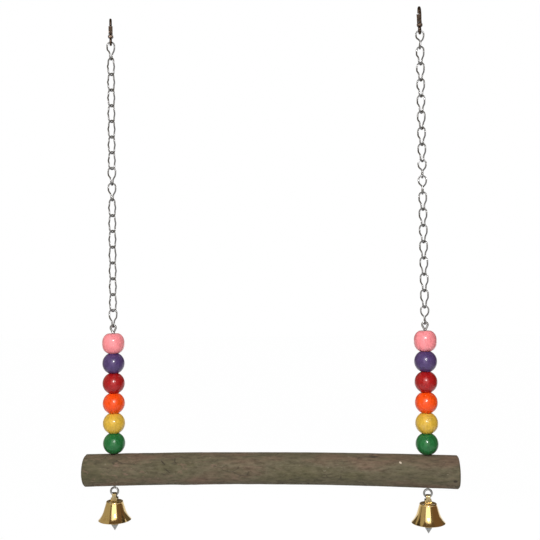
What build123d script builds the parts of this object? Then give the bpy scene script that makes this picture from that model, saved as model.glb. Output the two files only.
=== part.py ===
"""Bird swing: a branch perch hung from two snap hooks by twisted-link chains, with beads and bells.

The frame has +Z up and +X along the perch. The origin is midway between the two hooks, at the height
where a rail bears on the inside of their bows. All sizes are in millimetres.
"""

import math
import os

from build123d import *

# Perch
PERCH_LENGTH = 294.0
PERCH_DIAMETER = 26.0
PERCH_BOW = 2.4
PERCH_END_CHAMFER = 1.0
ROD_INSET = 23.5
ROD_SPACING = PERCH_LENGTH - 2 * ROD_INSET
ROD_HOLE_CLEARANCE = 0.3

# Beads
BEAD_DIAMETER = 17.5
BEAD_HEIGHT = 15.8
BEAD_BORE = 2.6
BEAD_EDGE = 0.6
BEAD_GAP = 0.12
BEAD_COLOURS = ["pink", "purple", "red", "orange", "yellow", "green"]

# Bead rods
ROD_WIRE = 1.6
TOP_EYE_RADIUS = 2.1
TOP_EYE_STEM = 4.6
BOTTOM_EYE_RADIUS = 2.95
BOTTOM_EYE_DROP = 0.3

# Chains
LINK_WIRE = 1.2
LINK_WIDTH = 7.2
LINK_PITCH = 12.7
LINK_GAP = 0.3
LINK_BULGE = 0.62
LINK_TURN = -30.0

# A chain moves between these runs of links, from the hook downwards
CHAIN_RUN_COUNTS = {
    "swing_link": 1,
    "sway_link": 1,
    "upper_links": 7,
    "lower_links": 7,
    "closing_link": 1,
    "end_link": 1,
}
LINK_COUNT = sum(CHAIN_RUN_COUNTS.values())

# Snap hooks
HOOK_WIRE = 2.0
HOOK_BOW_RADIUS = 4.0
HOOK_NOSE = 1.6
HOOK_EYE_RADIUS = 2.4
HOOK_EYE_DROP = 13.6
HOOK_TURN = 15.0
LUG_DIAMETER = 4.4
LUG_THICKNESS = 2.0
LUG_DROP = 9.6
RIVET_DIAMETER = 1.2
RIVET_HEAD_DIAMETER = 2.0
RIVET_HEAD = 0.4
GATE_EAR_DIAMETER = 3.2
GATE_EAR = 0.5
GATE_EAR_LENGTH = 3.6
GATE_BAR = 1.1
GATE_TIP_GAP = 0.7
RUNNING_CLEARANCE = 0.06
SIDE_CLEARANCE = 0.12

# Bells
SHOULDER_DIAMETER = 13.2
MOUTH_DIAMETER = 26.0
WAIST_DIAMETER = 17.2
BELL_HEIGHT = 14.4
WAIST_DROP = 6.6
BELL_WALL = 0.8
CROWN_RISE = 0.7
CROWN_FLAT_DIAMETER = 11.6
CROWN_HOLE_DIAMETER = 7.0
BELL_DROP = 12.4
STRAP_THICKNESS = 0.6
STRAP_LOOP_WIDTH = 3.2
STRAP_WIDTH = 5.2
STRAP_GAP = 0.6
STRAP_HEADROOM = 1.6
STRAP_SHOULDER = 0.9
STRAP_TAB = 2.4
STRAP_TAIL = 3.2
CROWN_CLEARANCE = 0.15
PIN_DIAMETER = 0.9
PIN_DROP = 1.6
CLAPPER_EYE_RADIUS = 1.1
CLAPPER_EYE_WIDTH = 2.4
CLAPPER_STEM_DIAMETER = 1.3
CLAPPER_DIAMETER = 6.4
CLAPPER_BELLY_DROP = 3.2
CLAPPER_TIP_DROP = 8.3
CLAPPER_NECK_RISE = 4.0

# Heights worked out from the sizes above, from the rail downwards
BOW_Z = HOOK_WIRE / 2 - HOOK_BOW_RADIUS
LUG_Z = BOW_Z - LUG_DROP
HOOK_EYE_Z = BOW_Z - HOOK_EYE_DROP
HOOK_EYE_LOW_Z = HOOK_EYE_Z - HOOK_EYE_RADIUS
LINK_TOP_Z = HOOK_EYE_LOW_Z + (HOOK_WIRE + LINK_WIRE) / 2 + LINK_GAP
LINK_BEND = (LINK_WIDTH - LINK_WIRE) / 2
LINK_LENGTH = LINK_PITCH + LINK_WIRE + LINK_GAP
CHAIN_LOW_Z = LINK_TOP_Z - (LINK_COUNT - 1) * LINK_PITCH - LINK_LENGTH
TOP_EYE_HIGH_Z = CHAIN_LOW_Z + (LINK_WIRE + ROD_WIRE) / 2 + LINK_GAP
TOP_EYE_Z = TOP_EYE_HIGH_Z - TOP_EYE_RADIUS
BEAD_TOP_Z = TOP_EYE_Z - TOP_EYE_STEM
BEAD_PITCH = BEAD_HEIGHT + BEAD_GAP
PERCH_TOP_Z = BEAD_TOP_Z - len(BEAD_COLOURS) * BEAD_PITCH
PERCH_Z = PERCH_TOP_Z - PERCH_DIAMETER / 2
PERCH_LOW_Z = PERCH_TOP_Z - PERCH_DIAMETER
BOTTOM_EYE_Z = PERCH_LOW_Z - BOTTOM_EYE_DROP - ROD_WIRE / 2 - BOTTOM_EYE_RADIUS
BOTTOM_EYE_LOW_Z = BOTTOM_EYE_Z - BOTTOM_EYE_RADIUS
SHOULDER_Z = PERCH_LOW_Z - BELL_DROP
MOUTH_Z = SHOULDER_Z - BELL_HEIGHT
CROWN_Z = SHOULDER_Z + CROWN_RISE
TAB_Z = CROWN_Z - BELL_WALL - CROWN_CLEARANCE
STRAP_TOP_Z = BOTTOM_EYE_LOW_Z + STRAP_HEADROOM
PIN_Z = TAB_Z - STRAP_THICKNESS - PIN_DROP

SIDES = {"left": -1, "right": 1}


def write(part, name):
    """Label a finished piece and write it as its own file."""
    part.label = name
    export_step(part, f"parts/{name}.step")


def hook_plane(side):
    """The plane of a hook: local X points out of its opening, local Y is up."""
    turn = math.radians(HOOK_TURN)
    opening = Vector(-SIDES[side] * math.sin(turn), -math.cos(turn), 0)
    origin = (SIDES[side] * ROD_SPACING / 2, 0, 0)
    return Plane(origin=origin, x_dir=opening, z_dir=opening.cross(Vector(0, 0, 1)))


def gate_tip():
    """Where the gate's bar ends, under the nose, in the hook's plane."""
    return Vector(HOOK_BOW_RADIUS, BOW_Z - HOOK_NOSE - GATE_TIP_GAP - GATE_BAR / 2)


def make_hook_frame(side):
    """A bent wire with a bow, a spine, a lug for the gate's rivet and an eye for the chain."""
    plane = hook_plane(side)
    bend_z = LUG_Z + HOOK_BOW_RADIUS
    with BuildPart() as frame:
        with BuildLine(plane) as centre_line:
            nose = Line((HOOK_BOW_RADIUS, BOW_Z - HOOK_NOSE), (HOOK_BOW_RADIUS, BOW_Z))
            bow = ThreePointArc(nose @ 1, (0, BOW_Z + HOOK_BOW_RADIUS), (-HOOK_BOW_RADIUS, BOW_Z))
            spine = Line(bow @ 1, plane.from_local_coords((-HOOK_BOW_RADIUS, bend_z, 0)))
            TangentArc(spine @ 1, plane.from_local_coords((0, LUG_Z, 0)), tangent=spine % 1)
        with BuildSketch(Plane(origin=centre_line.line @ 0, z_dir=centre_line.line % 0)):
            Circle(HOOK_WIRE / 2)
        sweep()
        eye_centre = plane.from_local_coords((0, HOOK_EYE_Z, 0))
        with Locations(Plane(origin=eye_centre, x_dir=plane.x_dir, z_dir=plane.z_dir).location):
            Torus(HOOK_EYE_RADIUS, HOOK_WIRE / 2)
        with BuildSketch(plane):
            with Locations((0, LUG_Z)):
                Circle(LUG_DIAMETER / 2)
        extrude(amount=LUG_THICKNESS / 2, both=True)
        with BuildSketch(plane):
            with Locations((0, LUG_Z)):
                Circle(RIVET_DIAMETER / 2)
        extrude(amount=HOOK_WIRE, both=True, mode=Mode.SUBTRACT)
    return frame.part


def make_hook_rivet(side):
    """The rivet that holds the gate on the lug, with a head at each end."""
    plane = hook_plane(side)
    half = LUG_THICKNESS / 2 + SIDE_CLEARANCE + GATE_EAR + SIDE_CLEARANCE
    with BuildPart() as rivet:
        with BuildSketch(plane):
            with Locations((0, LUG_Z)):
                Circle(RIVET_DIAMETER / 2)
        extrude(amount=half + RIVET_HEAD, both=True)
        for level in (half, -half - RIVET_HEAD):
            with BuildSketch(plane.offset(level)):
                with Locations((0, LUG_Z)):
                    Circle(RIVET_HEAD_DIAMETER / 2)
            extrude(amount=RIVET_HEAD)
    return rivet.part


def make_hook_gate(side):
    """The gate: a bar up to the nose, with two ears beside the lug."""
    plane = hook_plane(side)
    pivot = Vector(0, LUG_Z)
    tip = gate_tip()
    along = (tip - pivot).normalized()
    ear_end = pivot + along * GATE_EAR_LENGTH
    ear_in = LUG_THICKNESS / 2 + SIDE_CLEARANCE
    bar_start = pivot + along * (LUG_DIAMETER / 2 + GATE_BAR / 2 + 2 * SIDE_CLEARANCE)
    with BuildPart() as gate:
        for level in (ear_in, -ear_in - GATE_EAR):
            with BuildSketch(plane.offset(level)):
                with BuildLine():
                    Line(pivot, ear_end)
                trace(line_width=GATE_EAR_DIAMETER)
                with Locations(pivot, ear_end):
                    Circle(GATE_EAR_DIAMETER / 2)
            extrude(amount=GATE_EAR)
        with BuildSketch(plane):
            with BuildLine():
                Line(bar_start, tip)
            trace(line_width=GATE_BAR)
            with Locations(bar_start, tip):
                Circle(GATE_BAR / 2)
        extrude(amount=ear_in + GATE_EAR, both=True)
        with BuildSketch(plane):
            with Locations(pivot):
                Circle(RIVET_DIAMETER / 2 + RUNNING_CLEARANCE)
        extrude(amount=HOOK_WIRE, both=True, mode=Mode.SUBTRACT)
    return gate.part


def make_twist_link():
    """One chain link with its top wire's centre at the origin, turned a quarter between its ends."""
    high = -LINK_BEND
    low = LINK_BEND - LINK_LENGTH
    side_reach = LINK_BEND * LINK_BULGE
    midway = (side_reach, side_reach, (high + low) / 2)
    upward = (0, 0, 1)
    with BuildPart() as half_link:
        with BuildLine() as centre_line:
            bottom = TangentArc((0, 0, -LINK_LENGTH), (0, LINK_BEND, low), tangent=(0, 1, 0))
            strand = Spline(bottom @ 1, midway, (LINK_BEND, 0, high), tangents=(upward, upward))
            TangentArc(strand @ 1, (0, 0, 0), tangent=upward)
        with BuildSketch(Plane(origin=centre_line.line @ 0, z_dir=centre_line.line % 0)):
            Circle(LINK_WIRE / 2)
        sweep()
    with BuildPart() as link:
        with PolarLocations(0, 2):
            add(half_link.part)
    return link.part


def chain_runs():
    """The link numbers of each run, counted from the hook."""
    runs = {}
    last = 0
    for name, count in CHAIN_RUN_COUNTS.items():
        runs[name] = range(last + 1, last + count + 1)
        last += count
    return runs


def link_place(side, number):
    """Where a link hangs. It is square to the frame beside the hook, the rod and the fold, else turned."""
    runs = chain_runs()
    square = (1, LINK_COUNT, runs["upper_links"][-1], runs["lower_links"][0])
    turn = 0 if number in square else LINK_TURN
    return Location((SIDES[side] * ROD_SPACING / 2, 0, LINK_TOP_Z - (number - 1) * LINK_PITCH), (0, 0, turn))


def make_chain_run(side, numbers, link):
    """A run of separate links."""
    with BuildPart() as run:
        with Locations(*[link_place(side, number) for number in numbers]):
            add(link)
    return run.part


def make_bead_rod(side):
    """One wire: a drop-shaped eye over the beads, a shank, and a round eye under the perch."""
    plane = Plane(origin=(SIDES[side] * ROD_SPACING / 2, 0, 0), x_dir=(1, 0, 0), z_dir=(0, -1, 0))
    stem_z = TOP_EYE_Z - TOP_EYE_STEM
    lean = math.acos(TOP_EYE_RADIUS / TOP_EYE_STEM)
    side_point = (TOP_EYE_RADIUS * math.sin(lean), TOP_EYE_Z - TOP_EYE_RADIUS * math.cos(lean))
    shank_low = BOTTOM_EYE_Z + BOTTOM_EYE_RADIUS
    with BuildPart() as rod:
        with BuildLine(plane) as drop_eye:
            Line((0, stem_z), side_point)
            ThreePointArc(side_point, (0, TOP_EYE_HIGH_Z), (-side_point[0], side_point[1]))
            Line((-side_point[0], side_point[1]), (0, stem_z))
        with BuildSketch(Plane(origin=drop_eye.line @ 0, z_dir=drop_eye.line % 0)):
            Circle(ROD_WIRE / 2)
        sweep(transition=Transition.ROUND)
        with BuildSketch(Plane.XY.offset(shank_low)):
            with Locations((plane.origin.X, 0)):
                Circle(ROD_WIRE / 2)
        extrude(amount=stem_z - shank_low)
        with Locations((plane.origin.X, 0, stem_z)):
            Sphere(ROD_WIRE / 2)
        with Locations(Location((plane.origin.X, 0, BOTTOM_EYE_Z), (90, 0, 0))):
            Torus(BOTTOM_EYE_RADIUS, ROD_WIRE / 2)
    return rod.part


def make_bead(side, place):
    """A turned wooden ball with flat ends and a bore, the place-th from the top."""
    middle = BEAD_TOP_Z - BEAD_PITCH * place - BEAD_HEIGHT / 2
    with BuildPart() as bead:
        with Locations((SIDES[side] * ROD_SPACING / 2, 0, middle)):
            Sphere(BEAD_DIAMETER / 2)
            Box(BEAD_DIAMETER, BEAD_DIAMETER, BEAD_HEIGHT, mode=Mode.INTERSECT)
            ends = bead.faces().filter_by(Axis.Z)
            fillet(ends.edges(), BEAD_EDGE)
            Cylinder(BEAD_BORE / 2, BEAD_HEIGHT, mode=Mode.SUBTRACT)
    return bead.part


def make_perch():
    """A slightly bowed branch with sawn ends and a drilled hole for each rod."""
    bow_radius = ((PERCH_LENGTH / 2) ** 2 + PERCH_BOW**2) / (2 * PERCH_BOW)
    apex_z = PERCH_Z + bow_radius - math.sqrt(bow_radius**2 - (ROD_SPACING / 2) ** 2)
    end_z = apex_z - PERCH_BOW
    with BuildPart() as perch:
        with BuildLine() as centre_line:
            ThreePointArc((-PERCH_LENGTH / 2, 0, end_z), (0, 0, apex_z), (PERCH_LENGTH / 2, 0, end_z))
        # The seam of the swept surface lies at the front, clear of the drilled holes.
        with BuildSketch(Plane(centre_line.line @ 0, x_dir=(0, -1, 0), z_dir=centre_line.line % 0)):
            Circle(PERCH_DIAMETER / 2)
        sweep()
        chamfer(perch.edges().filter_by(GeomType.CIRCLE), PERCH_END_CHAMFER)
        with Locations((-ROD_SPACING / 2, 0, PERCH_Z), (ROD_SPACING / 2, 0, PERCH_Z)):
            Cylinder(ROD_WIRE / 2 + ROD_HOLE_CLEARANCE, 2 * PERCH_DIAMETER, mode=Mode.SUBTRACT)
    return perch.part


def make_bell_shell(side):
    """A spun shell: a low crown with a hole, a rounded shoulder and a wall that flares to the mouth."""
    shoulder = SHOULDER_DIAMETER / 2
    waist = WAIST_DIAMETER / 2
    mouth = MOUTH_DIAMETER / 2
    hole = CROWN_HOLE_DIAMETER / 2
    flat_edge = CROWN_FLAT_DIAMETER / 2
    under_crown = CROWN_RISE - BELL_WALL
    plane = Plane(origin=(SIDES[side] * ROD_SPACING / 2, 0, SHOULDER_Z), x_dir=(1, 0, 0), z_dir=(0, -1, 0))
    with BuildPart() as shell:
        with BuildSketch(plane):
            with BuildLine():
                flat = Line((hole, CROWN_RISE), (flat_edge, CROWN_RISE))
                crown = Line(flat @ 1, (shoulder, 0))
                wall = Line(crown @ 1, (waist, -WAIST_DROP))
                flare = TangentArc(wall @ 1, (mouth, -BELL_HEIGHT), tangent=wall % 1)
                lip = Line(flare @ 1, (mouth - BELL_WALL, -BELL_HEIGHT))
                inner_flare = TangentArc((waist - BELL_WALL, -WAIST_DROP), lip @ 1, tangent=wall % 1)
                inner_wall = Line(inner_flare @ 0, (shoulder - BELL_WALL, -BELL_WALL))
                inner_crown = Line(inner_wall @ 1, (flat_edge - BELL_WALL / 2, under_crown))
                inner_flat = Line(inner_crown @ 1, (hole, under_crown))
                Line(inner_flat @ 1, flat @ 0)
            make_face()
            fillet(vertices().sort_by_distance((shoulder, 0, 0))[:1], BELL_WALL)
        revolve(axis=Axis(plane.origin, (0, 0, 1)))
    return shell.part


def make_bell_hanger(side):
    """A folded strap: a loop round the rod's lower eye, legs through the crown and tabs under it."""
    leg_in = ROD_WIRE / 2 + STRAP_GAP
    leg_out = leg_in + STRAP_THICKNESS
    tail_z = PIN_Z - STRAP_TAIL / 2
    wide_z = BOTTOM_EYE_LOW_Z - ROD_WIRE / 2 - STRAP_SHOULDER
    plane = Plane(origin=(SIDES[side] * ROD_SPACING / 2, 0, 0), x_dir=(0, 1, 0), z_dir=(1, 0, 0))
    arch_z = STRAP_TOP_Z - leg_in
    with BuildPart() as hanger:
        with BuildSketch(plane):
            with BuildLine():
                right = Line((leg_out, tail_z), (leg_out, arch_z))
                over = ThreePointArc(right @ 1, (0, arch_z + leg_out), (-leg_out, arch_z))
                left = Line(over @ 1, (-leg_out, tail_z))
                foot = Line(left @ 1, (-leg_in, tail_z))
                left_in = Line(foot @ 1, (-leg_in, arch_z))
                under = ThreePointArc(left_in @ 1, (0, arch_z + leg_in), (leg_in, arch_z))
                right_in = Line(under @ 1, (leg_in, tail_z))
                Line(right_in @ 1, right @ 0)
            make_face()
        extrude(amount=STRAP_LOOP_WIDTH / 2, both=True)
        for edge in (-1, 1):
            with BuildSketch(plane):
                with Locations((edge * (leg_in + leg_out) / 2, (wide_z + TAB_Z) / 2)):
                    Rectangle(STRAP_THICKNESS, wide_z - TAB_Z)
            extrude(amount=STRAP_WIDTH / 2, both=True)
            with BuildSketch(plane):
                with Locations((edge * (leg_in + leg_out + STRAP_TAB) / 2, TAB_Z - STRAP_THICKNESS / 2)):
                    Rectangle(STRAP_THICKNESS + STRAP_TAB, STRAP_THICKNESS)
            extrude(amount=STRAP_WIDTH / 2, both=True)
        with BuildSketch(Plane.XZ):
            with Locations((plane.origin.X, PIN_Z)):
                Circle(PIN_DIAMETER / 2)
        extrude(amount=leg_out, both=True, mode=Mode.SUBTRACT)
    return hanger.part


def make_clapper_pin(side):
    """The cross pin between the hanger's legs."""
    reach = ROD_WIRE / 2 + STRAP_GAP + STRAP_THICKNESS
    with BuildPart() as pin:
        with BuildSketch(Plane.XZ):
            with Locations((SIDES[side] * ROD_SPACING / 2, PIN_Z)):
                Circle(PIN_DIAMETER / 2)
        extrude(amount=reach, both=True)
    return pin.part


def make_clapper(side):
    """A pointed drop on a stem, with an eye round the cross pin."""
    centre_x = SIDES[side] * ROD_SPACING / 2
    belly_z = MOUTH_Z - CLAPPER_BELLY_DROP
    tip_z = MOUTH_Z - CLAPPER_TIP_DROP
    neck_z = MOUTH_Z + CLAPPER_NECK_RISE
    stem = CLAPPER_STEM_DIAMETER / 2
    bore = PIN_DIAMETER / 2 + RUNNING_CLEARANCE
    plane = Plane(origin=(centre_x, 0, 0), x_dir=(1, 0, 0), z_dir=(0, -1, 0))
    with BuildPart() as clapper:
        with BuildSketch(plane):
            with BuildLine():
                axis_line = Line((0, tip_z), (0, PIN_Z - CLAPPER_EYE_RADIUS + RUNNING_CLEARANCE))
                top = Line(axis_line @ 1, (stem, PIN_Z - CLAPPER_EYE_RADIUS + RUNNING_CLEARANCE))
                side_line = Line(top @ 1, (stem, neck_z))
                swell = TangentArc(side_line @ 1, (CLAPPER_DIAMETER / 2, belly_z), tangent=side_line % 1)
                Line(swell @ 1, axis_line @ 0)
            make_face()
        revolve(axis=Axis(plane.origin, (0, 0, 1)))
        with BuildSketch(Plane.XZ):
            with Locations((centre_x, PIN_Z)):
                Circle(CLAPPER_EYE_RADIUS)
        extrude(amount=CLAPPER_EYE_WIDTH / 2, both=True)
        with BuildSketch(Plane.XZ):
            with Locations((centre_x, PIN_Z)):
                Circle(bore)
        extrude(amount=CLAPPER_EYE_WIDTH, both=True, mode=Mode.SUBTRACT)
    return clapper.part


os.makedirs("parts", exist_ok=True)
twist_link = make_twist_link()
write(make_perch(), "perch")
for side in SIDES:
    write(make_hook_frame(side), f"{side}_hook_frame")
    write(make_hook_gate(side), f"{side}_hook_gate")
    write(make_hook_rivet(side), f"{side}_hook_rivet")
    for run_name, numbers in chain_runs().items():
        write(make_chain_run(side, numbers, twist_link), f"{side}_chain_{run_name}")
    write(make_bead_rod(side), f"{side}_bead_rod")
    for place, colour in enumerate(BEAD_COLOURS):
        write(make_bead(side, place), f"{side}_bead_{colour}")
    write(make_bell_hanger(side), f"{side}_bell_hanger")
    write(make_bell_shell(side), f"{side}_bell_shell")
    write(make_clapper(side), f"{side}_bell_clapper")
    write(make_clapper_pin(side), f"{side}_clapper_pin")
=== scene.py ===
"""Bird swing: the looks of a hanging branch perch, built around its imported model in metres."""

import logging
import math
from dataclasses import dataclass, field
from enum import Enum

import bpy
from mathutils import Matrix, Vector, noise


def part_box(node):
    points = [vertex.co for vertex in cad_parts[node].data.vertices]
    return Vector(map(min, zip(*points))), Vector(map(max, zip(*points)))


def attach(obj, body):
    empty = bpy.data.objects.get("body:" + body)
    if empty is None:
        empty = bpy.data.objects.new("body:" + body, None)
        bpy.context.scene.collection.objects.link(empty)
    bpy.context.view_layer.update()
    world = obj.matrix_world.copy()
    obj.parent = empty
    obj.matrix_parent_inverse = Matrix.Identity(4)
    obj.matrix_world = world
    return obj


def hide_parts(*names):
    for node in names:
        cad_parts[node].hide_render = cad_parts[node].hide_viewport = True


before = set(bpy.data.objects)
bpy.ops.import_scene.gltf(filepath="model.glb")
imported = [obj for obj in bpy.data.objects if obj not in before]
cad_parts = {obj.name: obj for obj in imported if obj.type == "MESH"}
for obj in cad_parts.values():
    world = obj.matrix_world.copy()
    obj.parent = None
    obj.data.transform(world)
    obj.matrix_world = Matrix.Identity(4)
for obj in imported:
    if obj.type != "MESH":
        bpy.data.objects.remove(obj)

LOG = logging.getLogger("bird_swing")
MM = 0.001
WHITE = (1.0, 1.0, 1.0, 1.0)
# The share of a mark's reach that is in full colour.
MARK_SOLID = 0.55
# The wave texture's own pace: its rings pass this many radians for each unit of place times scale.
WAVE_PACE = 20

Colour = tuple[float, float, float]
Profile = list[tuple[float, float]]
Triple = tuple[float, float, float]
Feed = bpy.types.NodeSocket | float | tuple


class Side(Enum):
    """The two ends of the perch, each with the sign of its X."""

    LEFT = -1
    RIGHT = 1

    @property
    def word(self) -> str:
        """The side's name as the model's nodes spell it."""
        return self.name.lower()


class BeadPaint(Enum):
    """The paints of the beads from the top down, in linear light."""

    PINK = (0.92, 0.27, 0.29)
    PURPLE = (0.072, 0.041, 0.138)
    RED = (0.36, 0.006, 0.007)
    ORANGE = (0.90, 0.076, 0.003)
    YELLOW = (0.68, 0.42, 0.045)
    GREEN = (0.012, 0.138, 0.034)

    @property
    def word(self) -> str:
        """The paint's name as the model's nodes spell it."""
        return self.name.lower()


class Bench:
    """One material on the bench: its node tree, with a short call for each kind of node."""

    def __init__(self, name: str) -> None:
        """Start a material whose textures read the row frame.

        Args:
            name: the material's name.
        """
        self.material = bpy.data.materials.new(name)
        self.material.use_nodes = True
        self.tree = self.material.node_tree
        self.shader = self.tree.nodes["Principled BSDF"]
        self.place = self.tree.nodes.new("ShaderNodeTexCoord").outputs["Object"]

    def add(self, kind: str, inputs: dict[str | int, Feed], **settings: object) -> bpy.types.Node:
        """Add a node and feed its sockets.

        Args:
            kind: Blender's name of the node type.
            inputs: a value or another node's socket for each socket.
            settings: the node's own options.

        Returns:
            The new node.
        """
        node = self.tree.nodes.new(kind)
        for option, value in settings.items():
            setattr(node, option, value)
        for key, value in inputs.items():
            self.feed(node.inputs[key], value)
        return node

    def feed(self, socket: bpy.types.NodeSocket, value: Feed) -> None:
        """Link a socket, or set it to a plain value.

        Args:
            socket: the input to feed.
            value: another node's output, a number or a colour.
        """
        if isinstance(value, bpy.types.NodeSocket):
            self.tree.links.new(value, socket)
        else:
            socket.default_value = value

    def set(self, **inputs: Feed) -> None:
        """Feed the surface shader, with underscores for the blanks in its socket names."""
        for name, value in inputs.items():
            self.feed(self.shader.inputs[name.replace("_", " ")], value)

    def stretched(self, fineness: Triple) -> bpy.types.NodeSocket:
        """The row frame's coordinates, scaled along each axis in turns per metre."""
        return self.add("ShaderNodeMapping", {"Vector": self.place, "Scale": fineness}).outputs[0]

    def speckle(self, vector: bpy.types.NodeSocket, scale: float = 1.0, detail: float = 4.0,
                roughness: float = 0.6) -> bpy.types.NodeSocket:
        """Smooth random values from 0 to 1.

        Args:
            vector: the coordinates that the pattern lies in.
            scale: the pattern's fineness.
            detail: how many finer layers are added.
            roughness: how strong the finer layers are.

        Returns:
            The pattern's value.
        """
        node = self.add("ShaderNodeTexNoise", {"Vector": vector, "Scale": scale, "Detail": detail,
                                               "Roughness": roughness})
        return node.outputs[0]

    def ramp(self, value: bpy.types.NodeSocket, stops: list[tuple[float, Colour]]) -> bpy.types.NodeSocket:
        """A colour for each value.

        Args:
            value: the pattern.
            stops: the pattern's values, each with the colour there.

        Returns:
            The colour.
        """
        node = self.add("ShaderNodeValToRGB", {0: value})
        elements = node.color_ramp.elements
        while len(elements) < len(stops):
            elements.new(0.5)
        for element, (position, colour) in zip(elements, stops):
            element.position = position
            element.color = (*colour, 1.0)
        return node.outputs[0]

    def shaded(self, colour: Feed, value: bpy.types.NodeSocket, stops: Profile) -> bpy.types.NodeSocket:
        """Lighten and darken a colour by a pattern.

        Args:
            colour: the colour to shade.
            value: the pattern.
            stops: the pattern's values, each with the brightness there.

        Returns:
            The shaded colour.
        """
        shade = self.ramp(value, [(position, (level,) * 3) for position, level in stops])
        return self.mix(1.0, colour, shade, "MULTIPLY")

    def scaled(self, value: bpy.types.NodeSocket, factor: Feed) -> bpy.types.NodeSocket:
        """A value times a number or another value."""
        return self.sum(value, factor, "MULTIPLY")

    def span(self, value: bpy.types.NodeSocket, low: float, high: float, to_low: float,
             to_high: float) -> bpy.types.NodeSocket:
        """A value carried from one span to another and held at its ends.

        Args:
            value: the value to carry.
            low: where the first span starts.
            high: where the first span ends.
            to_low: where the second span starts.
            to_high: where the second span ends.

        Returns:
            The carried value.
        """
        node = self.add("ShaderNodeMapRange", {0: value, 1: low, 2: high, 3: to_low, 4: to_high},
                        interpolation_type="SMOOTHSTEP")
        return node.outputs[0]

    def mix(self, share: Feed, first: Feed, second: Feed, how: str = "MIX") -> bpy.types.NodeSocket:
        """Mix two colours.

        Args:
            share: how much of the second colour shows.
            first: the colour below.
            second: the colour above.
            how: Blender's name for the way of mixing.

        Returns:
            The mixed colour.
        """
        node = self.add("ShaderNodeMix", {}, data_type="RGBA", blend_type=how)
        self.feed(node.inputs[0], share)
        for socket, value in ((node.inputs[6], first), (node.inputs[7], second)):
            self.feed(socket, (*value, 1.0) if isinstance(value, tuple) else value)
        return node.outputs[2]

    def sum(self, first: Feed, second: Feed, how: str = "ADD") -> bpy.types.NodeSocket:
        """Add two values, or join them by another sum."""
        return self.add("ShaderNodeMath", {0: first, 1: second}, operation=how).outputs[0]

    def near(self, point: Vector, inner: float, outer: float) -> bpy.types.NodeSocket:
        """1 within the inner distance of a point, falling to 0 at the outer one."""
        node = self.add("ShaderNodeVectorMath", {0: self.place, 1: tuple(point)}, operation="DISTANCE")
        return self.span(node.outputs["Value"], inner, outer, 1.0, 0.0)

    def mark(self, centre: Vector, reach: Triple, tilt: float = 0.0) -> bpy.types.NodeSocket:
        """1 in a small patch of the surface, falling to 0 at its edge.

        Args:
            centre: the patch's middle.
            reach: how far it goes along X, Y and Z before it is tilted.
            tilt: its turn about Y in degrees.

        Returns:
            The patch's value.
        """
        turn = (0.0, math.radians(tilt), 0.0)
        moved = self.add("ShaderNodeMapping", {"Vector": self.place, "Location": tuple(centre),
                                               "Rotation": turn, "Scale": reach}, vector_type="TEXTURE")
        node = self.add("ShaderNodeVectorMath", {0: moved.outputs[0]}, operation="LENGTH")
        return self.span(node.outputs["Value"], MARK_SOLID, 1.0, 1.0, 0.0)

    def bump(self, height: bpy.types.NodeSocket, depth: float, strength: float = 1.0) -> None:
        """Raise the surface by a height pattern.

        Args:
            height: the pattern.
            depth: how far the pattern's whole span is, in metres.
            strength: the share of it that shows.
        """
        node = self.add("ShaderNodeBump", {"Height": height, "Distance": depth, "Strength": strength})
        self.tree.links.new(node.outputs[0], self.shader.inputs["Normal"])


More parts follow.
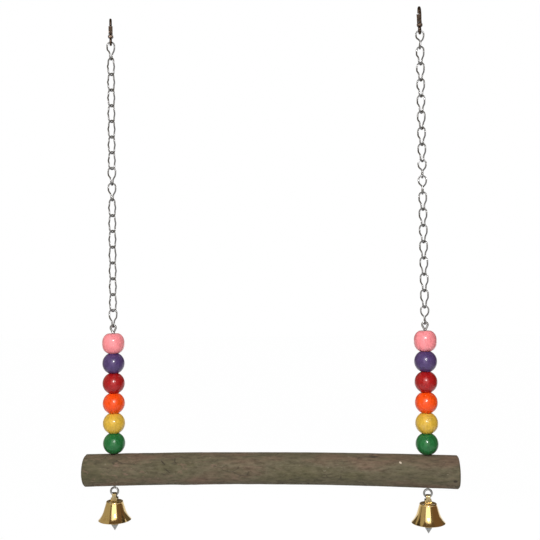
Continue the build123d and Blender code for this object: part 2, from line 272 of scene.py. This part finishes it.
@dataclass(frozen=True)
class BarkFinish:
    """Thin weathered bark: grey-brown with olive and rosy patches, flecks and short cracks."""

    olive: Colour = (0.088, 0.076, 0.036)
    grey: Colour = (0.104, 0.086, 0.048)
    rosy: Colour = (0.140, 0.090, 0.056)
    flake: Colour = (0.200, 0.126, 0.086)
    fleck: Colour = (0.230, 0.190, 0.130)
    crack: Colour = (0.034, 0.026, 0.016)
    chip: Colour = (0.620, 0.520, 0.400)
    patch_fineness: Triple = (16, 55, 55)
    fine_fineness: Triple = (150, 430, 430)
    streak_fineness: Triple = (26, 300, 300)
    flake_fineness: Triple = (130, 330, 330)
    fleck_fineness: Triple = (330, 620, 620)
    cell_fineness: Triple = (70, 190, 190)
    crack_field_fineness: Triple = (30, 75, 75)
    worn_from: float = -0.09
    worn_to: float = 0.06
    crack_width: float = 0.045
    crack_share: float = 0.8
    cell_bend: float = 0.012
    cell_bend_fineness: float = 90
    chip_reach: Triple = (1.3 * MM, 2.0 * MM, 0.8 * MM)
    chip_tilt: float = 25.0
    scar_reach: Triple = (1.9 * MM, 3.0 * MM, 1.3 * MM)
    split_reach: Triple = (3.4 * MM, 3.0 * MM, 0.5 * MM)
    split_tilt: float = 38.0
    relief: float = 0.5 * MM
    flake_relief: float = 0.25
    crack_relief: float = 0.7

    def material(self, chip: Vector, scar: Vector, splits: list[Vector]) -> bpy.types.Material:
        """Mix the bark.

        Args:
            chip: where a pale chip lies.
            scar: where a dark scar lies.
            splits: where slanting splits lie.

        Returns:
            The bark's material.
        """
        bench = Bench("bark")
        patches = bench.speckle(bench.stretched(self.patch_fineness), detail=3)
        colour = bench.ramp(patches, [(0.36, self.olive), (0.50, self.grey), (0.66, self.rosy)])
        fine = bench.speckle(bench.stretched(self.fine_fineness), detail=7, roughness=0.68)
        colour = bench.shaded(colour, fine, [(0.30, 0.56), (0.50, 0.98), (0.72, 1.36)])
        streaks = bench.speckle(bench.stretched(self.streak_fineness), detail=5)
        colour = bench.mix(bench.span(streaks, 0.54, 0.72, 0.0, 0.55), colour, self.olive)
        flaking = bench.speckle(bench.stretched(self.flake_fineness), detail=7, roughness=0.72)
        flakes = bench.span(flaking, 0.55, 0.66, 0.0, 0.7)
        along = bench.add("ShaderNodeSeparateXYZ", {0: bench.place}).outputs[0]
        worn = bench.span(along, self.worn_from, self.worn_to, 1.0, 0.2)
        colour = bench.mix(bench.scaled(flakes, worn), colour, self.flake)
        flecks = bench.speckle(bench.stretched(self.fleck_fineness), detail=3)
        colour = bench.mix(bench.span(flecks, 0.66, 0.76, 0.0, 0.75), colour, self.fleck)
        lines = self.cracks(bench)
        colour = bench.mix(bench.scaled(lines, self.crack_share), colour, self.crack)
        colour = bench.mix(bench.mark(chip, self.chip_reach, self.chip_tilt), colour, self.chip)
        colour = bench.mix(bench.mark(scar, self.scar_reach), colour, self.crack)
        for split in splits:
            colour = bench.mix(bench.mark(split, self.split_reach, self.split_tilt), colour, self.crack)
        raised = bench.sum(fine, bench.scaled(flakes, self.flake_relief))
        height = bench.sum(raised, bench.scaled(lines, self.crack_relief), "SUBTRACT")
        bench.bump(height, self.relief, 0.8)
        bench.set(Base_Color=colour, Roughness=bench.span(fine, 0.3, 0.7, 0.92, 0.72))
        return bench.material

    def cracks(self, bench: Bench) -> bpy.types.NodeSocket:
        """Short cracks between the bark's plates, in some fields only.

        Args:
            bench: the bark's bench.

        Returns:
            1 in a crack and 0 beside it.
        """
        waver = bench.speckle(bench.place, self.cell_bend_fineness, 2)
        bent = bench.mix(self.cell_bend, bench.stretched(self.cell_fineness), waver, "ADD")
        plates = bench.add("ShaderNodeTexVoronoi", {"Vector": bent, "Scale": 1.0},
                           feature="DISTANCE_TO_EDGE")
        fields = bench.speckle(bench.stretched(self.crack_field_fineness), detail=2)
        edges = bench.span(plates.outputs[0], 0.0, self.crack_width, 1.0, 0.0)
        return bench.scaled(edges, bench.span(fields, 0.52, 0.64, 0.0, 1.0))


@dataclass(frozen=True)
class SawnFinish:
    """A sawn and weathered end: year rings, a dark heart and saw scratches."""

    early: Colour = (0.400, 0.290, 0.175)
    late: Colour = (0.235, 0.160, 0.094)
    heart: Colour = (0.095, 0.062, 0.038)
    ring: float = 2.1 * MM
    heart_core: float = 0.8 * MM
    heart_reach: float = 3.0 * MM
    saw_fineness: Triple = (20, 90, 2600)
    saw_depth: float = 0.15 * MM

    def material(self, hearts: list[Vector]) -> bpy.types.Material:
        """Mix the sawn wood.

        Args:
            hearts: the middles of the sawn ends.

        Returns:
            The sawn wood's material.
        """
        bench = Bench("sawn_wood")
        lifted = (0.0, 0.0, -hearts[0].z)
        moved = bench.add("ShaderNodeMapping", {"Vector": bench.place, "Location": lifted})
        rings = bench.add("ShaderNodeTexWave",
                          {"Vector": moved.outputs[0], "Scale": math.tau / WAVE_PACE / self.ring,
                           "Distortion": 3.4, "Detail": 3.0, "Detail Scale": 0.8},
                          wave_type="RINGS", rings_direction="X")
        colour = bench.mix(rings.outputs["Fac"], self.early, self.late)
        for heart in hearts:
            colour = bench.mix(bench.near(heart, self.heart_core, self.heart_reach), colour, self.heart)
        marks = bench.speckle(bench.stretched(self.saw_fineness), detail=3)
        colour = bench.mix(bench.span(marks, 0.5, 0.7, 0.0, 0.35), colour, self.heart)
        bench.bump(marks, self.saw_depth, 0.7)
        bench.set(Base_Color=colour, Roughness=0.88)
        return bench.material


@dataclass(frozen=True)
class PaintFinish:
    """Gloss paint on turned wood, with the grain showing through and painted shade darkening the rim at the
    bore, where the beads meet.
    """

    colour: Colour
    # How bright the painted shade on the flat ends round the bore is, as a share of the paint's colour.
    bore_shade: float = 0.35
    grain_fineness: Triple = (420, 420, 105)
    blotch_fineness: float = 210
    blotch_paleness: float = 0.25
    rim_core: float = 1.6 * MM
    rim_reach: float = 4.2 * MM
    rim_share: float = 0.7
    relief: float = 0.05 * MM

    def material(self, name: str, axis: Vector, pole: float) -> bpy.types.Material:
        """Mix the paint of one bead colour.

        Args:
            name: the material's name.
            axis: a point on the bead's bore, at its middle.
            pole: the distance from there to the bead's flat ends.

        Returns:
            The paint's material.
        """
        bench = Bench(name)
        grain = bench.speckle(bench.stretched(self.grain_fineness), detail=2)
        blotch = bench.speckle(bench.place, self.blotch_fineness, 3)
        colour = bench.shaded(self.colour, grain, [(0.30, 0.84), (0.50, 0.99), (0.70, 1.07)])
        lift = self.blotch_paleness * max(self.colour)
        pale = tuple((1 - self.blotch_paleness) * part + lift for part in self.colour)
        colour = bench.mix(bench.span(blotch, 0.52, 0.74, 0.0, 0.30), colour, pale)
        # Painted shade: the flat ends round the bore, where the beads meet, are darkened towards this share
        # of the paint.
        dark = tuple(self.bore_shade * part for part in self.colour)
        for end in (-1, 1):
            rim = bench.near(axis + Vector((0, 0, end * pole)), self.rim_core, self.rim_reach)
            colour = bench.mix(bench.scaled(rim, self.rim_share), colour, dark)
        bench.bump(bench.sum(grain, blotch), self.relief, 0.25)
        bench.set(Base_Color=colour, Roughness=bench.span(grain, 0.3, 0.7, 0.20, 0.36), Coat_Weight=0.12,
                  Coat_Roughness=0.12, Specular_IOR_Level=0.32)
        return bench.material


@dataclass(frozen=True)
class MetalFinish:
    """A metal with a stain in it: its clean and stained colours and the span of its roughness."""

    name: str
    clean: Colour
    stained: Colour
    smooth: float
    rough: float
    stain_scale: float = 350.0
    stain_from: float = 0.48
    turned: float = 0.0
    stain_blend: float = 0.24
    scuff_fineness: Triple = (2400, 2400, 900)
    scuff_relief: float = 0.4
    relief: float = 0.03 * MM

    def material(self) -> bpy.types.Material:
        """Mix the metal, with fine rings where the piece was turned or spun.

        Returns:
            The metal's material.
        """
        bench = Bench(self.name)
        stain = bench.speckle(bench.place, self.stain_scale, 5)
        scuff = bench.speckle(bench.stretched(self.scuff_fineness), detail=2)
        share = bench.span(stain, self.stain_from, self.stain_from + self.stain_blend, 0.0, 1.0)
        colour = bench.mix(share, self.clean, self.stained)
        colour = bench.shaded(colour, scuff, [(0.35, 0.90), (0.65, 1.06)])
        height = bench.scaled(scuff, self.scuff_relief)
        if self.turned:
            rings = bench.speckle(bench.stretched((3, 3, 1 / self.turned)), detail=2)
            height = bench.sum(height, rings)
        bench.bump(height, self.relief, 0.35)
        gloss = bench.span(stain, 0.35, 0.7, self.smooth, self.rough)
        bench.set(Base_Color=colour, Metallic=1.0, Roughness=gloss)
        return bench.material


ZINC_PLATE = MetalFinish("zinc_plate", clean=(0.25, 0.25, 0.255), stained=(0.13, 0.128, 0.125),
                         smooth=0.34, rough=0.50)
ROD_STEEL = MetalFinish("rod_steel", clean=(0.28, 0.28, 0.28), stained=(0.12, 0.117, 0.113),
                        smooth=0.26, rough=0.44)
DARK_BRONZE = MetalFinish("dark_bronze", clean=(0.085, 0.060, 0.045), stained=(0.030, 0.022, 0.018),
                          smooth=0.36, rough=0.52, stain_scale=500.0)
SPUN_BRASS = MetalFinish("spun_brass", clean=(0.74, 0.55, 0.26), stained=(0.52, 0.33, 0.13),
                         smooth=0.07, rough=0.18, stain_scale=160.0, stain_from=0.50, turned=0.35 * MM)
STRAP_BRASS = MetalFinish("strap_brass", clean=(0.40, 0.31, 0.16), stained=(0.20, 0.14, 0.06),
                          smooth=0.20, rough=0.38)
CLAPPER_STEEL = MetalFinish("clapper_steel", clean=(0.30, 0.30, 0.29), stained=(0.11, 0.10, 0.09),
                            smooth=0.16, rough=0.34)


def new_piece(name: str, points: list[Vector], faces: list[tuple[int, ...]],
              sharp: float = 38.0) -> bpy.types.Object:
    """Make a smooth-shaded mesh piece in the row frame.

    Args:
        name: the piece's name.
        points: its corners in metres.
        faces: corner numbers of each face.
        sharp: edges that bend by more degrees than this stay crisp.

    Returns:
        The new object, linked to the scene.
    """
    mesh = bpy.data.meshes.new(name)
    mesh.from_pydata([tuple(point) for point in points], [], faces)
    mesh.shade_smooth()
    mesh.set_sharp_from_angle(angle=math.radians(sharp))
    piece = bpy.data.objects.new(name, mesh)
    bpy.context.scene.collection.objects.link(piece)
    return piece


def lathe(name: str, centre: Vector, profile: Profile, segments: int) -> bpy.types.Object:
    """Turn a closed profile about a vertical axis.

    Args:
        name: the piece's name.
        centre: where the profile's zero lies.
        profile: radius and height of each point, in metres, running round the section once.
        segments: how many steps a full turn takes.

    Returns:
        The turned piece.
    """
    points, faces = [], []
    for radius, height in profile:
        for step in range(segments):
            angle = math.tau * step / segments
            points.append(centre + Vector((radius * math.cos(angle), radius * math.sin(angle), height)))
    count = len(profile)
    for row in range(count):
        low, high = row * segments, (row + 1) % count * segments
        for step in range(segments):
            after = (step + 1) % segments
            faces.append((low + step, high + step, high + after, low + after))
    return new_piece(name, points, faces)


def tangent_arc(start: Vector, heading: Vector, end: Vector, count: int) -> list[Vector]:
    """Points on the arc that leaves start along heading and reaches end.

    Args:
        start: the first point, in a profile's plane.
        heading: the direction there.
        end: the last point.
        count: how many points follow the first.

    Returns:
        The points after start, end included.
    """
    chord = end - start
    side = Vector((-heading.y, heading.x)).normalized()
    radius = chord.length_squared / (2 * chord.dot(side))
    centre = start + side * radius
    begin = (start - centre).to_3d()
    finish = (end - centre).to_3d()
    turn = math.copysign(begin.angle(finish), begin.cross(finish).z)
    turns = (Matrix.Rotation(turn * step / count, 3, "Z") for step in range(1, count + 1))
    return [centre + (part @ begin).to_2d() for part in turns]


def dress(node: str, material: bpy.types.Material) -> None:
    """Give a model node its finish in place of the plain one.

    Args:
        node: the node's name.
        material: the finish.
    """
    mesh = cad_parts[node].data
    mesh.materials.clear()
    mesh.materials.append(material)


@dataclass(frozen=True)
class Knot:
    """A low knot on the branch: its place along it, its turn about it in radians and its reach."""

    x: float
    turn: float
    reach: float
    rise: float = 0.30 * MM
    dent: float = 0.25 * MM
    squash: float = 0.7
    dent_narrowness: float = 5

    def swell(self, x: float, angle: float, radius: float) -> float:
        """How far the knot lifts the bark at a place.

        Args:
            x: the place along the branch.
            angle: the turn about it.
            radius: the branch's radius.

        Returns:
            The lift in metres, less in the knot's dented middle.
        """
        along = (x - self.x) / self.reach
        off = math.remainder(angle - self.turn, math.tau) * radius / (self.squash * self.reach)
        away = along**2 + off**2
        return self.rise * math.exp(-away) - self.dent * math.exp(-self.dent_narrowness * away)


@dataclass
class BranchPerch:
    """The branch: a bowed round of wood with bark, knots and two sawn ends."""

    length: float = 294.0 * MM
    radius: float = 13.0 * MM
    bow: float = 2.4 * MM
    edge: float = 0.9 * MM
    rings: int = 380
    segments: int = 120
    cap_rings: int = 10
    waver: float = 0.35 * MM
    waver_pace: float = 14
    waver_turn: float = 0.9
    relief: float = 0.22 * MM
    ridge_pace: float = 60
    ridge_turn: float = 5
    ridge_layers: int = 4
    waist: float = 0.45 * MM
    cap_depth: float = 0.05 * MM
    chip: tuple[float, float] = (102.0 * MM, 8.0 * MM)
    scar: tuple[float, float] = (143.0 * MM, -4.6 * MM)
    splits: tuple[tuple[float, float], ...] = ((-82.0 * MM, 7.0 * MM), (-78.0 * MM, 1.0 * MM))
    knots: tuple[Knot, ...] = (Knot(-62.0 * MM, 4.35, 7.0 * MM), Knot(86.0 * MM, 0.55, 6.0 * MM),
                               Knot(18.0 * MM, 2.40, 8.0 * MM), Knot(-113.0 * MM, 1.70, 6.0 * MM),
                               Knot(125.0 * MM, 4.90, 5.0 * MM))

    def axis_point(self, x: float) -> Vector:
        """The point of the bowed heart line at a place.

        Args:
            x: the place along the branch.

        Returns:
            The point.
        """
        _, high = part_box("perch")
        bend = ((self.length / 2) ** 2 + self.bow**2) / (2 * self.bow)
        apex = high.z - self.radius
        return Vector((x, 0.0, apex - bend + math.sqrt(bend**2 - x**2)))

    def front_point(self, x: float, height: float) -> Vector:
        """The point of the branch's front at x, a height above or below the heart line."""
        depth = math.sqrt((self.radius - self.waist) ** 2 - height**2)
        return self.axis_point(x) + Vector((0.0, -depth, height))

    def skin(self, x: float, angle: float) -> float:
        """The bark's radius at a place: a waist, a waver, long ridges and low knots cut into the round.

        Args:
            x: the place along the branch.
            angle: the turn about it.

        Returns:
            The radius, never more than the plain bar's.
        """
        around = Vector((math.cos(angle), math.sin(angle)))
        slow = noise.noise(Vector((x * self.waver_pace, *(around * self.waver_turn))))
        ridge = noise.fractal(Vector((x * self.ridge_pace, *(around * self.ridge_turn))), 1.0, 2.0,
                              self.ridge_layers)
        cut = self.waver * (0.5 + 0.5 * slow) + self.relief * (0.5 + 0.5 * ridge)
        cut += self.waist * (1 - (2 * x / self.length) ** 2)
        cut -= sum(knot.swell(x, angle, self.radius) for knot in self.knots)
        return self.radius - max(0.0, cut)

    def build(self) -> bpy.types.Object:
        """Build the branch, put it in place of the model's plain bar and dress it.

        Returns:
            The branch.
        """
        half = self.length / 2
        round_length = self.length - 2 * self.edge
        caps = [share / self.cap_rings for share in range(1, self.cap_rings + 1)]
        stations = [(-half, share) for share in caps]
        for ring in range(self.rings + 1):
            stations.append((-half + self.edge + round_length * ring / self.rings, None))
        stations += [(half, share) for share in reversed(caps)]
        points, faces = [], []
        for x, share in stations:
            heart = self.axis_point(x)
            for step in range(self.segments):
                angle = math.tau * step / self.segments
                reach = self.skin(x, angle)
                if share is not None:
                    reach = (reach - self.edge) * share
                points.append(heart + Vector((0.0, reach * math.cos(angle), reach * math.sin(angle))))
        for row in range(len(stations) - 1):
            low, high = row * self.segments, (row + 1) * self.segments
            for step in range(self.segments):
                after = (step + 1) % self.segments
                faces.append((low + step, high + step, high + after, low + after))
        last = (len(stations) - 1) * self.segments
        faces.append(tuple(range(self.segments)))
        faces.append(tuple(last + step for step in reversed(range(self.segments))))
        branch = new_piece("branch", points, faces)
        self.dress(branch)
        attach(branch, "perch")
        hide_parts("perch")
        return branch

    def dress(self, branch: bpy.types.Object) -> None:
        """Bark on the round, sawn wood on the ends.

        Args:
            branch: the branch's object.
        """
        chip, scar = self.front_point(*self.chip), self.front_point(*self.scar)
        splits = [self.front_point(*split) for split in self.splits]
        hearts = [self.axis_point(end * self.length / 2) for end in (-1, 1)]
        branch.data.materials.append(BarkFinish().material(chip, scar, splits))
        branch.data.materials.append(SawnFinish().material(hearts))
        limit = self.length / 2 - self.cap_depth
        for face in branch.data.polygons:
            face.material_index = 1 if abs(face.center.x) > limit else 0


@dataclass
class BeadStack:
    """The six turned beads above one end of the perch."""

    side: Side
    radius: float = 8.75 * MM
    flat: float = 7.9 * MM
    bore: float = 1.3 * MM
    edge: float = 0.6 * MM
    segments: int = 72
    rows: int = 30
    edge_ease: float = 0.35
    ball: float = 2.0
    barrels: dict[BeadPaint, float] = field(default_factory=lambda: {BeadPaint.PINK: 2.35})

    def profile(self, paint: BeadPaint) -> Profile:
        """The bead's section: a ball, or a rounder barrel, cut flat at the ends.

        Args:
            paint: which bead it is.

        Returns:
            Radius and height of each point, once round the section.
        """
        power = self.barrels.get(paint, self.ball)
        outline: Profile = []
        for row in range(self.rows + 1):
            height = self.flat * math.sin(math.pi * (row / self.rows - 0.5))
            reach = self.radius * (1 - (abs(height) / self.radius) ** power) ** (1 / power)
            soften = max(0.0, (abs(height) - self.flat + self.edge) / self.edge)
            outline.append((reach - self.edge_ease * self.edge * soften**2, height))
        end = outline[-1][0]
        inner = [(end - self.edge, self.flat), (self.bore + self.edge / 2, self.flat),
                 (self.bore, self.flat - self.edge / 2)]
        return outline + inner + [(radius, -height) for radius, height in reversed(inner)]

    def build(self) -> list[bpy.types.Object]:
        """Turn the beads, place them on the rod and paint them.

        Returns:
            The beads from the top down.
        """
        beads = []
        for paint in BeadPaint:
            node = f"{self.side.word}_bead_{paint.word}"
            low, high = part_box(node)
            centre = (low + high) / 2
            bead = lathe(f"{node}_turned", centre, self.profile(paint), self.segments)
            finish = PaintFinish(paint.value).material(f"{node}_paint", centre, self.flat)
            bead.data.materials.append(finish)
            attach(bead, f"{self.side.word}_{paint.word}_bead")
            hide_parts(node)
            beads.append(bead)
        return beads


@dataclass
class Bell:
    """One brass bell with its hanger, clapper and pin."""

    side: Side
    shoulder: float = 6.6 * MM
    waist: float = 8.6 * MM
    mouth: float = 13.0 * MM
    height: float = 14.4 * MM
    waist_drop: float = 6.6 * MM
    wall: float = 0.8 * MM
    crown_rise: float = 0.7 * MM
    crown_flat: float = 5.9 * MM
    crown_hole: float = 3.5 * MM
    crown_dip: float = 0.25 * MM
    crown_edge: float = 0.7 * MM
    crown_heading: Vector = field(default_factory=lambda: Vector((1.0, 0.15)))
    shoulder_share: float = 0.04
    lip: float = 0.3 * MM
    segments: int = 96
    shoulder_steps: int = 8
    wall_steps: int = 6
    flare_steps: int = 18

    def profile(self) -> Profile:
        """The shell's section, from the crown's hole down the outside and back up the inside.

        Returns:
            Radius and height of each point, once round the section.
        """
        dip = Vector((0.0, self.crown_dip))
        edge = Vector((self.crown_flat, self.crown_rise))
        dipped_edge = edge - dip - Vector((self.crown_edge, 0.0))
        outside = [Vector((self.crown_hole, self.crown_rise)) - dip, dipped_edge, edge]
        slope = Vector((self.waist - self.shoulder, -self.waist_drop))
        shoulder = Vector((self.shoulder, 0.0)) + self.shoulder_share * slope
        outside += tangent_arc(edge, self.crown_heading, shoulder, self.shoulder_steps)
        top = outside[-1]
        waist = Vector((self.waist, -self.waist_drop))
        outside += [top.lerp(waist, step / self.wall_steps) for step in range(1, self.wall_steps + 1)]
        rim = Vector((self.mouth, -self.height + self.lip))
        outside += tangent_arc(waist, slope, rim, self.flare_steps)
        inside = [Vector((self.mouth - self.wall / 2, -self.height)),
                  Vector((self.mouth - self.wall, -self.height + self.lip))]
        inner_waist = waist - Vector((self.wall, 0.0))
        flare = tangent_arc(inner_waist, slope, inside[-1], self.flare_steps)
        inside += list(reversed(flare[:-1])) + [inner_waist]
        inside += [Vector((self.shoulder - self.wall, -self.wall)),
                   Vector((self.crown_flat - self.wall / 2, self.crown_rise - self.wall)),
                   Vector((self.crown_hole, self.crown_rise - self.wall))]
        return [(point.x, point.y) for point in outside + inside]

    def build(self, brass: bpy.types.Material, strap: bpy.types.Material,
              steel: bpy.types.Material) -> bpy.types.Object:
        """Spin the shell and dress the pieces that hang with it.

        Args:
            brass: the shell's finish.
            strap: the hanger's finish.
            steel: the clapper's finish.

        Returns:
            The shell.
        """
        word = self.side.word
        low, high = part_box(f"{word}_bell_shell")
        centre = Vector(((low.x + high.x) / 2, (low.y + high.y) / 2, low.z + self.height))
        shell = lathe(f"{word}_bell_spun", centre, self.profile(), self.segments)
        shell.data.materials.append(brass)
        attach(shell, f"{word}_bell")
        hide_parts(f"{word}_bell_shell")
        dress(f"{word}_bell_hanger", strap)
        dress(f"{word}_clapper_pin", strap)
        dress(f"{word}_bell_clapper", steel)
        return shell


@dataclass
class Hanging:
    """The hook, chain and bead rod of one side, which keep the model's own shapes."""

    side: Side
    chain_nodes: tuple[str, ...] = ("swing_link", "sway_link", "upper_links", "lower_links", "closing_link",
                                    "end_link")
    hook_nodes: tuple[str, ...] = ("hook_frame", "hook_gate", "hook_rivet")

    def build(self, zinc: bpy.types.Material, bronze: bpy.types.Material, steel: bpy.types.Material) -> int:
        """Dress the side's metal pieces.

        Args:
            zinc: the chain's finish.
            bronze: the hook's finish.
            steel: the rod's finish.

        Returns:
            How many nodes were dressed.
        """
        word = self.side.word
        for node in self.chain_nodes:
            dress(f"{word}_chain_{node}", zinc)
        for node in self.hook_nodes:
            dress(f"{word}_{node}", bronze)
        dress(f"{word}_bead_rod", steel)
        return len(self.chain_nodes) + len(self.hook_nodes) + 1


@dataclass(frozen=True)
class Card:
    """A card beside the camera that the metal mirrors: its middle, size, turn in degrees and glow."""

    name: str
    place: Vector
    width: float
    height: float
    turn: float
    colour: Colour
    strength: float = 1.0
    level: bool = False


@dataclass
class Studio:
    """The pale floor, the light, the cards that the metal mirrors and the camera."""

    floor_height: float = -0.62
    floor_reach: float = 6.0
    floor_shade: float = 0.70
    floor_glow: float = 0.97
    glow_strength: float = 1.02
    front_shade: float = 0.20
    back_shade: float = 0.24
    shade_from: float = -0.55
    shade_to: float = 0.45
    middle: Vector = field(default_factory=lambda: Vector((0.0, 0.0, -0.22)))
    key_place: Vector = field(default_factory=lambda: Vector((0.085, -0.68, 0.052)))
    key_size: tuple[float, float] = (0.08, 0.095)
    key_power: float = 4.9
    fill_place: Vector = field(default_factory=lambda: Vector((-0.75, -0.55, 0.05)))
    fill_size: tuple[float, float] = (0.35, 0.60)
    fill_power: float = 2.3
    rear_place: Vector = field(default_factory=lambda: Vector((0.20, 0.85, -0.02)))
    rear_size: tuple[float, float] = (0.60, 0.60)
    rear_power: float = 3.6
    azimuth: float = 4.35
    distance: float = 0.6227
    camera_height: float = -0.2175
    offset: float = 0.0033
    heading: float = 0.01
    pitch: float = 1.32
    roll: float = -0.76
    focal_pixels: float = 787.3
    frame_pixels: float = 540.0
    sensor_width: float = 36.0
    nearest: float = 0.01
    cards: list[Card] = field(default_factory=lambda: [
        Card("front_card", Vector((0.0, -1.30, -0.10)), 2.8, 2.6, 0.0, (0.22, 0.17, 0.105)),
        Card("tan_card", Vector((-0.80, -0.50, -0.10)), 1.9, 2.6, 72.0, (0.50, 0.45, 0.33)),
        Card("brown_card", Vector((1.00, -0.50, -0.10)), 1.9, 2.6, 108.0, (0.20, 0.125, 0.070)),
        Card("back_card", Vector((0.0, 0.90, 0.25)), 3.6, 1.1, 0.0, (0.14, 0.115, 0.075)),
        Card("pale_card", Vector((0.0, -0.72, 0.0)), 0.72, 1.0, 0.0, (1.0, 0.98, 0.92), 1.9),
        Card("roof_card", Vector((0.0, -0.60, 1.10)), 3.0, 2.6, 0.0, (0.15, 0.105, 0.065), 1.0, True),
    ])

    def lay_floor(self) -> bpy.types.Object:
        """A pale floor that shows almost white to the camera and still takes a shadow.

        Returns:
            The floor.
        """
        reach, level = self.floor_reach, self.floor_height
        corners = [Vector((x * reach, y * reach, level)) for x, y in ((-1, -1), (1, -1), (1, 1), (-1, 1))]
        floor = new_piece("floor", corners, [(0, 1, 2, 3)])
        bench = Bench("floor_paper")
        bench.set(Base_Color=(*(self.floor_shade,) * 3, 1.0), Roughness=0.9)
        glow = bench.add("ShaderNodeEmission", {"Color": WHITE, "Strength": self.glow_strength})
        rays = bench.add("ShaderNodeLightPath", {})
        seen = bench.sum(rays.outputs["Is Camera Ray"], rays.outputs["Is Glossy Ray"], "MAXIMUM")
        seen = bench.sum(seen, rays.outputs["Is Transmission Ray"], "MAXIMUM")
        share = bench.sum(seen, self.floor_glow, "MULTIPLY")
        blend = bench.add("ShaderNodeMixShader", {0: share, 1: bench.shader.outputs[0], 2: glow.outputs[0]})
        bench.tree.links.new(blend.outputs[0], bench.tree.nodes["Material Output"].inputs["Surface"])
        floor.data.materials.append(bench.material)
        return floor

    def light_world(self) -> None:
        """A white room behind the swing and a dimmer one in front of it."""
        world = bpy.data.worlds.new("studio")
        bpy.context.scene.world = world
        world.use_nodes = True
        tree = world.node_tree
        place = tree.nodes.new("ShaderNodeTexCoord")
        split = tree.nodes.new("ShaderNodeSeparateXYZ")
        tree.links.new(place.outputs["Generated"], split.inputs[0])
        shade = tree.nodes.new("ShaderNodeMapRange")
        shade.interpolation_type = "SMOOTHSTEP"
        limits = (self.shade_from, self.shade_to, self.front_shade, self.back_shade)
        for socket, value in zip(shade.inputs[1:5], limits):
            socket.default_value = value
        tree.links.new(split.outputs["Y"], shade.inputs[0])
        rays = tree.nodes.new("ShaderNodeLightPath")
        strength = shade.outputs[0]
        for kind in ("Is Camera Ray", "Is Glossy Ray", "Is Transmission Ray"):
            larger = tree.nodes.new("ShaderNodeMath")
            larger.operation = "MAXIMUM"
            tree.links.new(strength, larger.inputs[0])
            tree.links.new(rays.outputs[kind], larger.inputs[1])
            strength = larger.outputs[0]
        back = tree.nodes["Background"]
        back.inputs["Color"].default_value = WHITE
        tree.links.new(strength, back.inputs["Strength"])

    def hang_lamp(self, name: str, place: Vector, power: float,
                  size: tuple[float, float]) -> bpy.types.Object:
        """Hang a soft box that faces the swing's middle.

        Args:
            name: the lamp's name.
            place: where it hangs.
            power: its power in watts.
            size: its width and height in metres.

        Returns:
            The lamp.
        """
        data = bpy.data.lights.new(name, "AREA")
        data.shape = "RECTANGLE"
        data.size, data.size_y = size
        data.energy = power
        lamp = bpy.data.objects.new(name, data)
        lamp.location = place
        lamp.rotation_euler = (self.middle - place).to_track_quat("-Z", "Y").to_euler()
        bpy.context.scene.collection.objects.link(lamp)
        return lamp

    def stand_card(self, card: Card) -> bpy.types.Object:
        """Stand a card that only reflections see.

        Args:
            card: its place, size and colour.

        Returns:
            The card's object.
        """
        turn = math.radians(card.turn)
        across = Vector((math.cos(turn), math.sin(turn), 0.0)) * card.width / 2
        upward = Vector((0.0, 1.0, 0.0) if card.level else (0.0, 0.0, 1.0)) * card.height / 2
        corners = [card.place - across - upward, card.place + across - upward,
                   card.place + across + upward, card.place - across + upward]
        piece = new_piece(card.name, corners, [(0, 1, 2, 3)])
        bench = Bench(card.name)
        glow = bench.add("ShaderNodeEmission", {"Color": (*card.colour, 1.0), "Strength": card.strength})
        bench.tree.links.new(glow.outputs[0], bench.tree.nodes["Material Output"].inputs["Surface"])
        piece.data.materials.append(bench.material)
        piece.visible_camera = piece.visible_diffuse = piece.visible_shadow = False
        return piece

    def place_camera(self) -> bpy.types.Object:
        """Stand the camera where the photograph was taken from.

        Returns:
            The camera.
        """
        turn = math.radians(self.azimuth)
        data = bpy.data.cameras.new("camera")
        data.sensor_width = self.sensor_width
        data.lens = data.sensor_width * self.focal_pixels / self.frame_pixels
        data.clip_start = self.nearest
        camera = bpy.data.objects.new("camera", data)
        ahead = Matrix.Rotation(math.radians(self.azimuth + self.heading), 3, "Z")
        tilt = Matrix.Rotation(math.radians(90 + self.pitch), 3, "X")
        rolled = Matrix.Rotation(math.radians(self.roll), 3, "Z")
        place = Matrix.Rotation(turn, 3, "Z") @ Vector((self.offset, -self.distance, 0.0))
        camera.matrix_world = Matrix.Translation(place + Vector((0, 0, self.camera_height))) @ (
            ahead @ tilt @ rolled).to_4x4()
        bpy.context.scene.collection.objects.link(camera)
        bpy.context.scene.camera = camera
        return camera

    def build(self) -> None:
        """Set the whole studio up."""
        bpy.context.scene.view_settings.view_transform = "Standard"
        self.lay_floor()
        self.light_world()
        self.hang_lamp("key", self.key_place, self.key_power, self.key_size)
        fill = self.hang_lamp("fill", self.fill_place, self.fill_power, self.fill_size)
        rear = self.hang_lamp("rear", self.rear_place, self.rear_power, self.rear_size)
        fill.visible_glossy = rear.visible_glossy = False
        for card in self.cards:
            self.stand_card(card)
        self.place_camera()


def main() -> None:
    """Build every piece in order, then the studio."""
    logging.basicConfig(level=logging.INFO, format="%(name)s: %(message)s")
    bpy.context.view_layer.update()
    zinc, steel, bronze, brass, strap, clapper = (
        finish.material() for finish in (ZINC_PLATE, ROD_STEEL, DARK_BRONZE, SPUN_BRASS, STRAP_BRASS,
                                         CLAPPER_STEEL))
    branch = BranchPerch().build()
    LOG.info("%s: %d corners", branch.name, len(branch.data.vertices))
    for side in Side:
        LOG.info("%s side: %d metal nodes dressed", side.word, Hanging(side).build(zinc, bronze, steel))
        for bead in BeadStack(side).build():
            LOG.info("%s: turned and painted", bead.name)
        LOG.info("%s: spun", Bell(side).build(brass, strap, clapper).name)
    Studio().build()
    bpy.context.view_layer.update()


if __name__ == "__main__":
    main()
